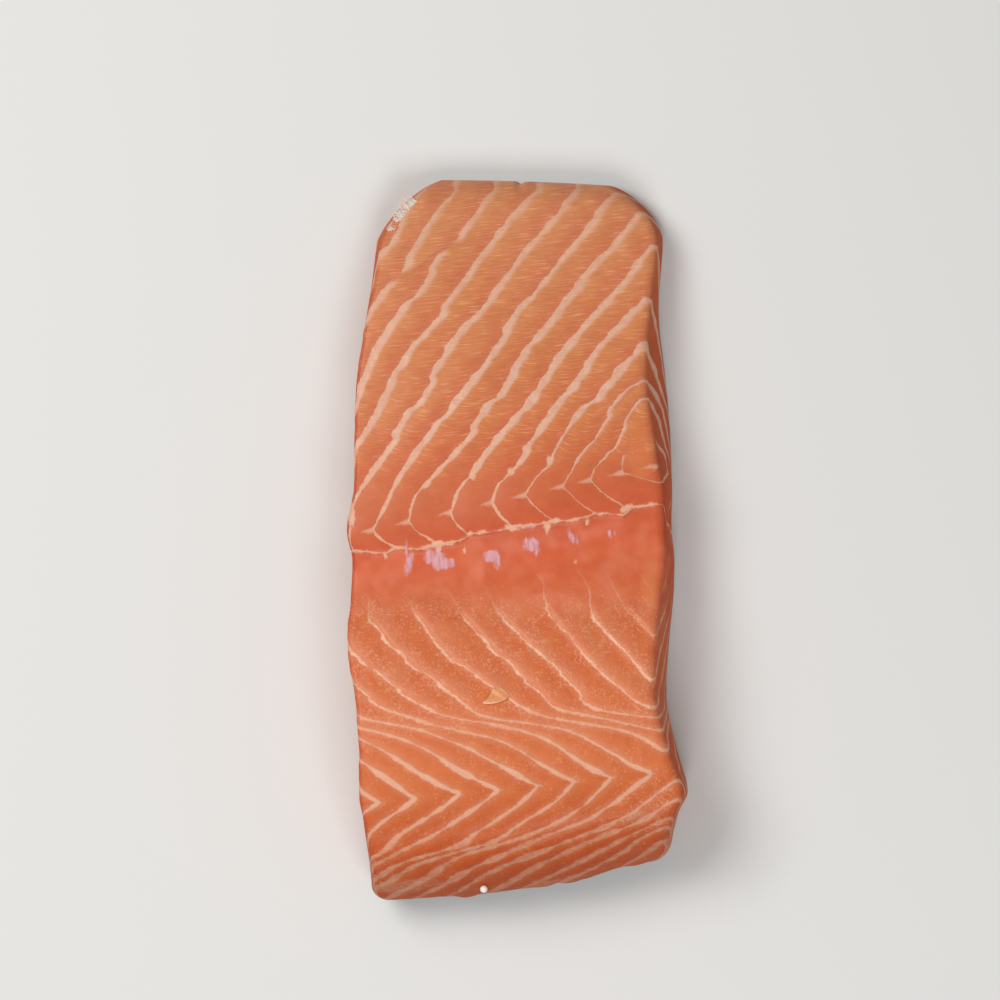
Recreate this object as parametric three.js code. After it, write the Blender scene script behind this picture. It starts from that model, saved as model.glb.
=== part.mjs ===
// A raw salmon fillet portion, lying skin side down.
// +Y runs from the thick back to the thin belly, X runs across between the two knife cuts, and Z is up
// from the surface it rests on. It is one piece of flesh, so it is one closed solid. Sizes are in
// millimetres.
import * as THREE from "three";

const { lerp, clamp, smoothstep } = THREE.MathUtils;

// The two ends. The back is cut a little askew, so its right corner lies further in than its left one.
const BACK_END = -81;
const BELLY_END = 81;
const BACK_SKEW = 8.5;
const BELLY_SKEW = -1.2;

// Stations from back to belly: the two cut edges, how far the right cut leans in at its top, and the height
// of the flesh.
const STATIONS = [
  { y: -81, left: -32.0, right: 34.2, lean: 0.5, height: 25.0 },
  { y: -70, left: -33.0, right: 34.0, lean: 0.5, height: 28.5 },
  { y: -61, left: -34.5, right: 35.6, lean: 0.5, height: 30.0 },
  { y: -56, left: -35.2, right: 37.8, lean: 0.6, height: 30.5 },
  { y: -46, left: -35.2, right: 35.7, lean: 1.8, height: 30.5 },
  { y: -36, left: -36.0, right: 33.7, lean: 2.3, height: 29.5 },
  { y: -24, left: -37.7, right: 34.1, lean: 2.8, height: 27.5 },
  { y: -12, left: -37.2, right: 35.2, lean: 2.6, height: 24.5 },
  { y: -4, left: -36.9, right: 35.3, lean: 1.6, height: 22.8 },
  { y: 3, left: -38.0, right: 34.5, lean: 1.2, height: 22.6 },
  { y: 12, left: -36.4, right: 34.8, lean: 1.8, height: 21.6 },
  { y: 25, left: -36.5, right: 34.4, lean: 3.4, height: 20.0 },
  { y: 38, left: -35.7, right: 33.2, lean: 3.8, height: 18.0 },
  { y: 52, left: -33.4, right: 31.7, lean: 1.3, height: 15.2 },
  { y: 66, left: -31.0, right: 32.2, lean: 0.2, height: 11.8 },
  { y: 81, left: -30.6, right: 32.0, lean: 0.1, height: 8.8 },
];

// How each end rounds off: the reach of the rounding on top and underneath, the height of the foremost
// point, and the two corners seen from above, as a radius and the power of their curve.
const BACK_NOSE = { top: 17, under: 17, height: 8.5, left: [3.5, 2], right: [5, 2] };
const BELLY_NOSE = { top: 6, under: 6, height: 3.6, left: [14, 1.4], right: [12, 1.5] };
const TIP_FLAT = 0.04; // each tip is closed this far short of its true point

// The knife cuts at the sides. The left one runs in under the flesh to a foot that bends less than its top.
const LEFT_FOOT = { x: -34.3, y: -10, bend: 0.0006 };
const CUT_BULGE = 0.7;
const SHOULDER = { left: 2.2, right: 2.6, atCorners: 0.2 };
const FOOT_RADIUS = 1.4;
const CROWN = 1.1; // how much higher the middle stands than the cut edges

// The seam between belly and loin, which is a small step up from the loin that fades out again into the
// belly, and the shallow channel that the pin bones left below it.
const SEAM = { y: 2.7, slope: 0.155, step: 0.5, rise: [-1, 0.5], fade: [0, 14] };
const CHANNEL = { below: 7, depth: 1.5, halfWidth: 6.5 };

// The loin's sheets of flesh stand as low ledges. A row gives where the ledges cross a line over the top:
// its y, the x of ledge 0 and their spacing. LEDGE_RISE is the share of the spacing that a ledge climbs in.
const LEDGE_ROWS = [
  { y: -13.3, start: -110.7, pitch: 9.61 },
  { y: -24.5, start: -106.7, pitch: 10.06 },
  { y: -37.6, start: -87.5, pitch: 9.79 },
];
const LEDGE_HEIGHT = 0.8;
const LEDGE_RISE = 0.3;
const LEDGE_FADE = 5;

// A torn scrap of flesh that lies on the loin, and slow unevenness of the whole top.
const SCRAP = { x: -5, y: -34.4, halfLength: 3.1, halfWidth: 1.9, height: 0.8 };
const WAVES = [
  { x: 0.11, y: 0.07, shift: 0.4, height: 0.22 },
  { x: -0.05, y: 0.19, shift: 1.7, height: 0.2 },
  { x: 0.23, y: -0.16, shift: 2.9, height: 0.12 },
];

// How finely the solid is divided.
const ROW_STEP = 2.1;
const NOSE_ROWS = { back: 8, belly: 5 };
const TOP_STEPS = 46;
const CUT_STEPS = 5;
const FOOT_STEPS = 2;
const BASE_STEPS = 5;
const CROWDING = 0.5; // how much closer the points lie at the cuts than in the middle

/** Smooth curve through one column of the stations, as cubic pieces with the neighbours' slope. */
function alongStations(y, column) {
  const last = STATIONS.length - 2;
  let i = 0;
  while (i < last && y > STATIONS[i + 1].y) i += 1;
  const slope = (j) => {
    const a = STATIONS[Math.max(j - 1, 0)];
    const b = STATIONS[Math.min(j + 1, STATIONS.length - 1)];
    return (b[column] - a[column]) / (b.y - a.y);
  };
  const [p, q] = [STATIONS[i], STATIONS[i + 1]];
  const span = q.y - p.y;
  const t = clamp((y - p.y) / span, 0, 1);
  const rise = t * t * (3 - 2 * t);
  return (
    lerp(p[column], q[column], rise) +
    span * t * (1 - t) * ((1 - t) * slope(i) - t * slope(i + 1))
  );
}

/** Rises from 0 at an edge to 1 at reach from it, as a quarter of a superellipse. */
function nose(distance, reach, power = 2) {
  const inward = 1 - clamp(distance / reach, 0, 1);
  return (1 - inward ** power) ** (1 / power);
}

/** Shares from 0 to 1 that crowd together at both ends. */
function crowded(t) {
  return t - (CROWDING * Math.sin(2 * Math.PI * t)) / (2 * Math.PI);
}

// The two end edges, at a share u of the way from the left cut to the right one.
const backEdge = (u) => BACK_END + BACK_SKEW * u * u;
const bellyEdge = (u) => BELLY_END + BELLY_SKEW * u * u;

/** How far a side edge is drawn in at the corners, at distances from the back and the belly end. */
function cornerPull(side, fromBack, fromBelly) {
  const pull = (distance, [radius, power]) => radius * (1 - nose(distance, radius, power));
  return pull(fromBack, BACK_NOSE[side]) + pull(fromBelly, BELLY_NOSE[side]);
}

/** Saw-toothed ledges: each sheet stands proud at its left edge and slopes down under the next one. */
function ledges(x, y) {
  const [high, middle, low] = LEDGE_ROWS;
  const [from, to] = y > middle.y ? [high, middle] : [middle, low];
  const t = (y - from.y) / (to.y - from.y);
  const phase = (x - lerp(from.start, to.start, t)) / lerp(from.pitch, to.pitch, t);
  const across = phase - Math.floor(phase);
  const tooth = across < LEDGE_RISE ? across / LEDGE_RISE : (1 - across) / (1 - LEDGE_RISE);
  const below = smoothstep(y, low.y - LEDGE_FADE / 2, low.y + LEDGE_FADE);
  const above = smoothstep(y, high.y - LEDGE_FADE, high.y);
  return LEDGE_HEIGHT * (smoothstep(tooth, 0, 1) - 0.5) * below * (1 - above);
}

/** The low relief of the top: seam, channel, ledges, scrap and waves. */
function relief(x, y) {
  const aboveSeam = y - SEAM.y - SEAM.slope * x;
  const step = SEAM.step * (smoothstep(aboveSeam, ...SEAM.rise) - smoothstep(aboveSeam, ...SEAM.fade));
  const channel = CHANNEL.depth * Math.exp(-(((aboveSeam + CHANNEL.below) / CHANNEL.halfWidth) ** 2));
  const fromScrap = Math.hypot((x - SCRAP.x) / SCRAP.halfLength, (y - SCRAP.y) / SCRAP.halfWidth);
  const scrap = SCRAP.height * Math.exp(-(fromScrap ** 4));
  const waves = WAVES.reduce((sum, w) => sum + w.height * Math.sin(w.x * x + w.y * y + w.shift), 0);
  return step - channel + ledges(x, y) + scrap + waves;
}

/** The named lines of the cross-section at a share w of the length. */
function slice(w) {
  const yAt = (u) => lerp(backEdge(u), bellyEdge(u), w);
  const [yLeft, yRight] = [yAt(0), yAt(1)];
  const pullLeft = cornerPull("left", yLeft - backEdge(0), bellyEdge(0) - yLeft);
  const pullRight = cornerPull("right", yRight - backEdge(1), bellyEdge(1) - yRight);
  const right = alongStations(yRight, "right") - pullRight;
  return {
    yAt,
    left: alongStations(yLeft, "left") + pullLeft,
    crest: right - alongStations(yRight, "lean"),
    leftFoot: LEFT_FOOT.x + LEFT_FOOT.bend * (yLeft - LEFT_FOOT.y) ** 2 + pullLeft,
    rightFoot: right,
    leftRadius: SHOULDER.left + SHOULDER.atCorners * pullLeft,
    rightRadius: SHOULDER.right + SHOULDER.atCorners * pullRight,
  };
}

/** The height of the flesh before its ends round off. */
function fullHeight(cut, u, x) {
  const y = cut.yAt(u);
  return alongStations(y, "height") + CROWN * (1 - (2 * u - 1) ** 2) + relief(x, y);
}

/** Draws a height z, out of a full one, towards the foremost point of the nearer end. */
function settled(cut, u, z, full) {
  const fromBack = cut.yAt(u) - backEdge(u);
  const fromBelly = bellyEdge(u) - cut.yAt(u);
  const end = fromBack < fromBelly ? BACK_NOSE : BELLY_NOSE;
  const distance = Math.min(fromBack, fromBelly);
  const share = lerp(nose(distance, end.under), nose(distance, end.top), clamp(z / full, 0, 1));
  return end.height + (z - end.height) * share;
}

/** The top from the left cut to the right one, with its shoulders rounded over. */
function topPoints(cut) {
  const drop = (distance, radius) => radius * (1 - nose(distance, radius));
  return Array.from({ length: TOP_STEPS + 1 }, (_, i) => {
    const u = crowded(i / TOP_STEPS);
    const x = lerp(cut.left, cut.crest, u);
    const full = fullHeight(cut, u, x);
    const z = full - drop(x - cut.left, cut.leftRadius) - drop(cut.crest - x, cut.rightRadius);
    return [u, x, z, full];
  });
}

/** One knife cut from its shoulder down and round its foot; outward is -1 on the left and 1 on the right. */
function cutPoints(cut, u, xTop, xFoot, radius, outward) {
  const full = fullHeight(cut, u, xTop);
  const points = [];
  for (let i = 1; i < CUT_STEPS; i += 1) {
    const t = i / CUT_STEPS;
    const x = lerp(xTop, xFoot, t) + outward * CUT_BULGE * Math.sin(Math.PI * t);
    points.push([u, x, lerp(full - radius, FOOT_RADIUS, t), full]);
  }
  for (let i = 0; i <= FOOT_STEPS; i += 1) {
    const turn = (Math.PI / 2) * (i / FOOT_STEPS);
    const x = xFoot - outward * FOOT_RADIUS * (1 - Math.cos(turn));
    points.push([u, x, FOOT_RADIUS * (1 - Math.sin(turn)), full]);
  }
  return points;
}

/** The flat underside from the right foot back to the left one, without its ends. */
function basePoints(cut) {
  return Array.from({ length: BASE_STEPS - 1 }, (_, i) => {
    const u = 1 - (i + 1) / BASE_STEPS;
    return [u, lerp(cut.leftFoot + FOOT_RADIUS, cut.rightFoot - FOOT_RADIUS, u), 0, 1];
  });
}

/** One closed ring round the fillet: top, right cut, underside and left cut in turn. */
function ring(w) {
  const cut = slice(w);
  const { left, crest, leftFoot, rightFoot, leftRadius, rightRadius } = cut;
  return [
    ...topPoints(cut),
    ...cutPoints(cut, 1, crest, rightFoot, rightRadius, 1),
    ...basePoints(cut),
    ...cutPoints(cut, 0, left, leftFoot, leftRadius, -1).reverse(),
  ].map(([u, x, z, full]) => new THREE.Vector3(x, cut.yAt(u), settled(cut, u, z, full)));
}

/** Where the rings stand, as shares of the length: by equal turns round each tip, evenly in between. */
function ringShares() {
  const length = BELLY_END - BACK_END;
  const tip = (reach, rows) => {
    const turns = Array.from({ length: rows }, (_, i) => (Math.PI / 2) * (i / rows));
    return turns.map((turn) => Math.max(TIP_FLAT, reach * (1 - Math.cos(turn))));
  };
  const start = BACK_NOSE.top;
  const end = length - BELLY_NOSE.top;
  const steps = Math.round((end - start) / ROW_STEP);
  const middle = Array.from({ length: steps + 1 }, (_, i) => lerp(start, end, i / steps));
  const belly = tip(BELLY_NOSE.top, NOSE_ROWS.belly).map((d) => length - d).reverse();
  return [...tip(BACK_NOSE.top, NOSE_ROWS.back), ...middle, ...belly].map((d) => d / length);
}

/** Skins the rings with triangles and closes the two tips. */
function filletGeometry() {
  const rings = ringShares().map(ring);
  const last = rings.length - 1;
  const count = rings[0].length;
  const index = [];
  for (let j = 0; j < last; j += 1) {
    for (let i = 0; i < count; i += 1) {
      const [a, b] = [j * count + i, j * count + ((i + 1) % count)];
      index.push(a, b, b + count, a, b + count, a + count);
    }
  }
  for (const [j, order] of [[0, [0, 1, 2]], [last, [0, 2, 1]]]) {
    const outline = rings[j].map((p) => new THREE.Vector2(p.x, p.z));
    for (const face of THREE.ShapeUtils.triangulateShape(outline, [])) {
      index.push(...order.map((k) => j * count + face[k]));
    }
  }
  const geometry = new THREE.BufferGeometry().setFromPoints(rings.flat());
  geometry.setIndex(index);
  geometry.computeVertexNormals();
  return geometry;
}

const flesh = new THREE.MeshStandardMaterial({ color: 0xd38660, roughness: 0.32, metalness: 0 });
const fillet = new THREE.Mesh(filletGeometry(), flesh);
fillet.name = "fillet";

const group = new THREE.Group();
group.add(fillet);

export default group;
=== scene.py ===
import bpy
import numpy as np
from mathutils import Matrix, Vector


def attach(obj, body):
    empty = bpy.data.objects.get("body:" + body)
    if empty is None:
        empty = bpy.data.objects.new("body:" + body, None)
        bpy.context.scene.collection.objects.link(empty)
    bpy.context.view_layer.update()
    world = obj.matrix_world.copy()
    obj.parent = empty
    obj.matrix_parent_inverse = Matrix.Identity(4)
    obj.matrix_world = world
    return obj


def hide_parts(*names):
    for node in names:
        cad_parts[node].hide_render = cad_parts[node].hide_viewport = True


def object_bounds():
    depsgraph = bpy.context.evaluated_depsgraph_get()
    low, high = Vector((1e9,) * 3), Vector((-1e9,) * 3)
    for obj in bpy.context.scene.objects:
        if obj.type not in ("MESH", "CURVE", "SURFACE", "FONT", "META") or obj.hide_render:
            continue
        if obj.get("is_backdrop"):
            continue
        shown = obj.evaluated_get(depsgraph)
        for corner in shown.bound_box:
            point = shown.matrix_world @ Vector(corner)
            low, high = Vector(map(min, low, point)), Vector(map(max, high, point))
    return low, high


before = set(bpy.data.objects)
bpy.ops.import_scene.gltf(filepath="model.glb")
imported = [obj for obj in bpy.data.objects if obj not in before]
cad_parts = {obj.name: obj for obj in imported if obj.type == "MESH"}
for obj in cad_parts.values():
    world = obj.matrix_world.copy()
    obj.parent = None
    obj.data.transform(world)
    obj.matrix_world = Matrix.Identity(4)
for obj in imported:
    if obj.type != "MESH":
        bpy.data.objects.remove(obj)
cad_box = [list(corner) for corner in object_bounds()]

# ---- The flesh -----------------------------------------------------------------------------------------
# One piece of raw muscle, cut by knife at both sides and trimmed at both ends, with thin sheets of fat
# through it. Its section is worked out at every share of its length; the skin carries it from below.

MM = 0.001  # every mesh is made in metres

# The two ends. The back is cut a little askew, so its right corner lies further in than its left one.
BACK_END = -81.0
BELLY_END = 81.0
BACK_SKEW = 8.5
BELLY_SKEW = -1.2

# Stations from back to belly: the two cut edges, how far the right cut leans in at its top, and the height.
STATION_Y = [-81, -70, -61, -56, -46, -36, -24, -12, -4, 3, 12, 25, 38, 52, 66, 81]
LEFT_EDGE = [
    -32, -33, -34.5, -35.2, -35.2, -36, -37.7, -37.2, -36.9, -38, -36.4, -36.5, -35.7, -33.4, -31, -30.6,
]
RIGHT_EDGE = [34.2, 34, 35.6, 37.8, 35.7, 33.7, 34.1, 35.2, 35.3, 34.5, 34.8, 34.4, 33.2, 31.7, 32.2, 32]
RIGHT_LEAN = [0.5, 0.5, 0.5, 0.6, 1.8, 2.3, 2.8, 2.6, 1.6, 1.2, 1.8, 3.4, 3.8, 1.3, 0.2, 0.1]
FLESH_HEIGHT = [25, 28.5, 30, 30.5, 30.5, 29.5, 27.5, 24.5, 22.8, 22.6, 21.6, 20, 18, 15.2, 11.8, 8.8]

# How each end rounds off: its reach on top and underneath, the height of its foremost point, and its two
# corners seen from above, as a radius and the power of their curve.
BACK_NOSE = {"top": 17, "under": 17, "height": 8.5, "left": (3.5, 2), "right": (5, 2)}
BELLY_NOSE = {"top": 6, "under": 6, "height": 3.6, "left": (14, 1.4), "right": (12, 1.5)}
TIP_FLAT = 0.04

# The knife cuts at the sides, their shoulders and feet, and the crown of the top between them.
LEFT_FOOT = {"x": -34.3, "y": -10, "bend": 0.0006}
CUT_BULGE = 0.7
SHOULDER_RADIUS = {"left": 1.1, "right": 2.4, "at_corners": 0.2}
FOOT_RADIUS = 0.6
CROWN = 1.1
UNDERSIDE_DEPTH = 30  # the underside counts as this deep under the top
SKIN_THICKNESS = 0.7

# Where the sheets of fat come to the surface. Each row is a line over the top: its y at x = 0, its slope,
# the number of the first sheet that crosses it, and the x of that one and of the next ones.
SHEET_ROWS = [
    (78.6, 0.0, 5, [-22.5, -13.8, -4.5, 4.9, 14.1, 23.2]),
    (65.6, 0.0, 5, [-29.0, -22.7, -14.6, -6.2, 3.0, 12.1, 21.1, 30.1]),
    (53.6, 0.0, 6, [-30.3, -23.3, -14.5, -6.0, 2.4, 11.3, 19.9, 29.1]),
    (42.6, 0.0, 7, [-31.3, -23.9, -14.6, -4.9, 2.1, 10.5, 18.6, 27.0]),
    (31.7, 0.0, 8, [-28.9, -21.5, -13.8, -4.7, 3.2, 10.4, 17.0, 23.5, 28.5]),
    (20.8, 0.0, 8, [-35.5, -28.8, -21.4, -13.4, -5.9, 2.6, 9.4, 16.1, 21.7, 28.0]),
    (16.7, 0.1, 9, [-33.5, -25.9, -18.4, -9.5, -0.5, 7.4, 13.7, 20.0, 24.2]),
    (13.7, 0.154, 9, [-36.3, -28.6, -22.6, -13.0, -3.8, 4.4, 12.3, 17.7, 23.7]),
    (9.9, 0.23, 9, [-37.3, -32.2, -23.9, -14.8, -5.4, 1.6, 10.2, 16.1, 23.4]),
    (6.3, 0.19, 9, [-37.2, -30.4, -21.9, -13.2, -3.6, 4.5, 13.4, 19.9, 33.0]),
    (2.7, 0.155, 9, [-35.7, -27.1, -18.4, -10.2, -0.4, 8.8, 18.2, 25.6, 42.0]),
    (-8.3, 0.046, 9, [-27.0, -17.3, -8.0, 5.3, 14.6, 20.1, 27.0]),
    (-12.9, 0.0, 8, [-32.7, -24.4, -13.7, -5.5, 6.1, 16.2, 23.0, 31.2]),
    (-17.4, 0.0, 8, [-32.1, -21.5, -10.9, -2.7, 8.4, 17.4, 26.7, 33.6]),
    (-26.1, 0.0, 7, [-34.5, -24.5, -14.2, -2.9, 6.1, 15.6, 25.0, 34.0]),
    (-32.7, 0.0, 6, [-35.4, -26.6, -15.3, -4.9, 4.6, 13.2, 22.9, 32.0]),
    (-36.9, 0.0, 6, [-29.3, -19.6, -9.8, 1.3, 9.9, 18.5, 30.4]),
    (-39.0, 0.0, 5, [-33.9, -23.6, -14.8, -4.5, 6.8, 20.5, 32.3]),
    (-41.6, 0.0, 4, [-32.1, -20.6, -13.0, 0.4, 10.9, 22.3, 30.7]),
    (-44.9, 0.0, 3, [-32.2, -22.3, -12.8, -2.0, 8.4, 17.9, 30.2]),
    (-49.2, 0.0, 2, [-33.1, -24.6, -14.6, -4.0, 5.5, 14.9, 24.6, 37.0]),
    (-54.3, 0.107, 1, [-30.4, -22.7, -12.8, -4.2, 4.6, 12.8, 20.8, 29.6]),
    (-58.9, 0.05, 1, [-35.4, -27.7, -18.3, -10.2, -0.8, 6.9, 15.0, 21.0, 28.8, 35.2]),
    (-62.8, 0.1, 2, [-33.9, -27.0, -18.4, -7.7, 0.3, 8.8, 15.7, 24.9, 30.3]),
    (-65.8, 0.13, 2, [-37.4, -31.8, -27.8, -14.3, -6.0, -0.1, 6.0, 18.6, 25.9, 32.3]),
    (-67.6, 0.12, 4, [-31.1, -23.7, -17.1, -10.4, 0.1, 11.5, 18.2, 26.2, 30.7]),
    (-72.6, 0.12, 5, [-34.5, -29.6, -20.5, -12.8, -5.6, 4.4, 14.0, 22.0, 28.9]),
    (-79.2, 0.12, 8, [-26.8, -17.9, -8.7, -2.3, 4.5, 15.8, 24.7]),
]
NODE_ROW = 8  # where the belly's sheets turn back towards the seam
SEAM_ROW = 10  # about where the seam between belly and loin runs
APEX_ROW = 21  # where the loin's sheets turn back at the far right of their V
FIRST_SHEET = -8  # sheets beyond those given go on at the mean spacing, as far as the knife cuts need them
LAST_SHEET = 20
SHEET_DIP = 1.24  # how far a sheet leans along x for each millimetre under the top

# How a sheet looks at a level, which is a y along those rows. The columns are the level, half the sheet's
# width, the softness of its edge, the size of its jogs and of its frayed edge, and how strongly it shows.
SHEET_LOOK = [
    (81, 0.65, 0.8, 0.3, 0.5, 0.6),
    (70, 0.7, 0.65, 0.45, 0.5, 0.8),
    (45, 0.76, 0.5, 0.7, 0.7, 0.95),
    (32, 0.84, 0.4, 0.8, 0.8, 1),
    (21, 0.66, 0.35, 0.7, 0.8, 1),
    (16.5, 0.56, 0.33, 0.3, 0.8, 1),
    (14.8, 0.34, 0.3, 0.3, 0.8, 0.95),
    (9.5, 0.26, 0.25, 0.2, 0.8, 0.85),
    (3.5, 0.24, 0.25, 0.2, 0.9, 0.8),
    (1.5, 0.2, 0.3, 0.2, 0.9, 0.7),
    (-9, 0.2, 0.4, 0.2, 1, 0),
    (-15, 0.22, 0.4, 0.5, 1.5, 0.4),
    (-20, 0.3, 0.3, 0.65, 1.3, 0.9),
    (-36, 0.3, 0.3, 0.5, 1, 0.9),
    (-45, 0.36, 0.5, 0.2, 0.6, 0.9),
    (-51, 0.6, 0.5, 0.1, 0.45, 1),
    (-56, 0.47, 0.55, 0.1, 0.45, 0.95),
    (-61, 0.43, 0.65, 0.2, 0.5, 0.85),
    (-66, 0.5, 0.6, 0.2, 0.8, 0.75),
    (-70, 0.7, 0.8, 0.3, 1, 0.7),
    (-76, 0.85, 1, 0.3, 1.2, 0.6),
    (-81, 0.95, 1.1, 0.3, 1.2, 0.5),
]
SHEET_LEVEL, HALF_WIDTH, EDGE_SOFTNESS, JOG, FRAYED, SHEET_STRENGTH = zip(*SHEET_LOOK)
HALO_LEVEL = [40, 20, 5, -9, -20, -45, -62, -81]
HALO = [0.08, 0.05, 0, 0, 0.14, 0.28, 0.15, 0.12]
HALO_REACH = (1.9, 0.2)
JOG_LENGTH = {"belly": 6.5, "loin": 2.6}
JOG_HOLD = 0.72  # the share of such a length over which a sheet keeps its offset
JOG_START = 0.37  # how much further along, in such lengths, each sheet starts than the one before it
JOG_SEED = 8

# The sheets at the right that are thinner: the share that they lose, and the sheets and the levels between
# which it sets in. The last sheet's upper part stays under the top, so that sheet shows as a hook.
THINNER = [(0.55, (13.4, 13.6), (29, 25)), (0.6, (14.4, 14.6), (50, 38))]
HOOK = {"sheets": (16.4, 16.6), "y": (18, 20), "levels": (36, 30)}
# The level at which the loin's sheets begin, and how much higher they do at the right, over which x.
LOIN_BEGINS = -9
BEGIN_HIGHER = {"by": 3.5, "x": (-10, 6), "levels": (-4, -9)}

# A tear in the belly's left corner, along which the sheets have slipped a little to either side.
TEAR = {"from": (-38.0, 53.0), "to": (-8.0, 69.5), "slip": 0.8, "reach": 5.0, "fade": 7.0, "lip": 0.4}
TEAR_BEND = {"height": 0.7, "turn": 0.45}

# The seam between the belly and the loin, from left to right, with half its width, and half the height of
# the wedges and of the spurs of fat at the turns of the sheets.
SEAM_HALF_WIDTH = 0.3
WEDGE_HALF_HEIGHT = 0.95
SPUR_HALF_HEIGHT = 0.5
SEAM_LINE = [
    (-38, -2.0), (-29.3, -2.6), (-27.1, -1.4), (-21.9, -1.7), (-18.2, -1.0), (-12.3, 0.3), (-10.4, 1.6),
    (-4.9, 2.2), (-1.1, 3.3), (3.6, 3.5), (7.7, 4.4), (11.4, 4.6), (15.4, 5.4), (17.3, 6.1), (21.1, 6.1),
    (23.6, 5.8), (25.5, 7.5), (30.6, 8.3), (34, 8.0),
]

# The low relief of the top: the step at the seam, the channel that the pin bones left below it, the loin's
# ledges, the pillows between the sheets, and slow unevenness.
SEAM_STEP = 0.5
SEAM_STEP_RISE = (-1.0, 0.5)
SEAM_STEP_FADE = (0.0, 14.0)
CHANNEL = {"below": 7, "depth": 1.5, "half_width": 6.5}
LEDGE_HEIGHT = 0.5
LEDGE_RISE = 0.1
LEDGES_BETWEEN = (-40.0, -32.5, -18.0, -13.0)
PILLOW_LEVEL = [81, 15, 4, 0, -14, -38, -45, -62, -69, -81]
PILLOW_HEIGHT = [0.08, 0.12, 0.12, 0, 0, 0.05, 0.16, 0.2, 0.45, 0.5]
MEAN_OF_ARCH = 0.64  # of a sine from one sheet to the next, so that pillows add nothing on the whole

# Long waves: their turn along x and along y, their shift and their height. Swells: their size, their height
# in the belly and in the loin and their seed, and for the cut edges their size, height and seed.
WAVES = [(0.11, 0.07, 0.4, 0.22), (-0.05, 0.19, 1.7, 0.2), (0.23, -0.16, 2.9, 0.12)]
SWELLS = [(9.0, 0.2, 0.35, 3), (3.6, 0.04, 0.2, 4), (1.5, 0, 0.1, 5)]
EDGE_SWELLS = [(9.0, 0.3, 11), (3.6, 0.2, 12), (1.6, 0.1, 13)]
EDGE_ROWS = {"left": 0, "right": 40, "back": 7}  # each edge's own row of their lattices

# The lumps of the back end, as their size, height and seed, and the notch in the belly end, whose place and
# half width are shares of the width. Both fade with a power of the distance from their end.
END_LUMPS = [(12.0, 1.1, 31), (4.0, 0.8, 32)]
END_LUMPS_RUN = 80
END_LUMPS_FADE = 8
NOTCH = {"place": 0.47, "half_width": 0.025, "depth": 0.8, "fade": 30}

# Steps of the mesh: over the top, down a cut, round a foot, under the base, and its rings over the length.
TOP_STEPS = 190
CUT_STEPS = 13
FOOT_STEPS = 3
BASE_STEPS = 66
ROWS = 345
CROWDING = 0.35  # how much closer the steps of the top are at the two cuts


def cubic(t, span, start, end, leaving, arriving):
    """A cubic from start to end over a span, which leaves and arrives with the given slopes."""
    bend = span * t * (1 - t) * ((1 - t) * leaving - t * arriving)
    return start + (end - start) * t * t * (3 - 2 * t) + bend


def along(y, column):
    """A column of the stations at y: cubic pieces that pass each station with its neighbours' slope."""
    stations, values = np.asarray(STATION_Y, float), np.asarray(column, float)
    wide, far = np.pad(values, 1, "edge"), np.pad(stations, 1, "edge")
    slopes = (wide[2:] - wide[:-2]) / (far[2:] - far[:-2])
    i = np.clip(np.searchsorted(stations, y, side="right") - 1, 0, len(stations) - 2)
    span = stations[i + 1] - stations[i]
    t = np.clip((y - stations[i]) / span, 0, 1)
    return cubic(t, span, values[i], values[i + 1], slopes[i], slopes[i + 1])


def rounding(distance, reach, power=2.0):
    """Rises from 0 at an edge to 1 at reach from it, as a quarter of a superellipse."""
    inward = 1 - np.clip(distance / reach, 0, 1)
    return (1 - inward**power) ** (1 / power)


def ease(value, low, high):
    """Smooth step from 0 at low to 1 at high."""
    t = np.clip((value - low) / (high - low), 0, 1)
    return t * t * (3 - 2 * t)


def swell(x, y, size, seed):
    """Random swell from -1 to 1 with bumps of a size: heights on a square lattice, eased between."""
    lattice = np.random.default_rng(seed).uniform(-1, 1, (128, 128))
    column, row = x / size, y / size
    i, j = np.floor(column).astype(int), np.floor(row).astype(int)
    s, t = ease(column - i, 0, 1), ease(row - j, 0, 1)
    corner = lambda a, b: lattice[(i + a) % 128, (j + b) % 128]
    near = corner(0, 0) + (corner(1, 0) - corner(0, 0)) * s
    far = corner(0, 1) + (corner(1, 1) - corner(0, 1)) * s
    return near + (far - near) * t


def level_at(x, y):
    """The level of a point: its y, carried along the slanting rows to x = 0."""
    level = SHEET_ROWS[0][0] + np.zeros(np.broadcast(x, y).shape)
    for (high, high_slope, *_), (low, low_slope, *_) in zip(SHEET_ROWS, SHEET_ROWS[1:]):
        top, bottom = high + high_slope * x, low + low_slope * x
        level -= (high - low) * np.clip((top - y) / (top - bottom), 0, 1)
    return level


def sheet_crossings():
    """The x of every sheet in every row: as given, and beyond the given ones by the row's mean spacing."""
    numbers = np.arange(FIRST_SHEET, LAST_SHEET)
    table = []
    for _, _, first, crossings in SHEET_ROWS:
        last = first + len(crossings) - 1
        spacing = (crossings[-1] - crossings[0]) / (last - first)
        inside = np.interp(numbers, np.arange(first, last + 1), crossings)
        table.append(inside + spacing * (np.minimum(numbers - first, 0) + np.maximum(numbers - last, 0)))
    return np.array(table).T


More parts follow.
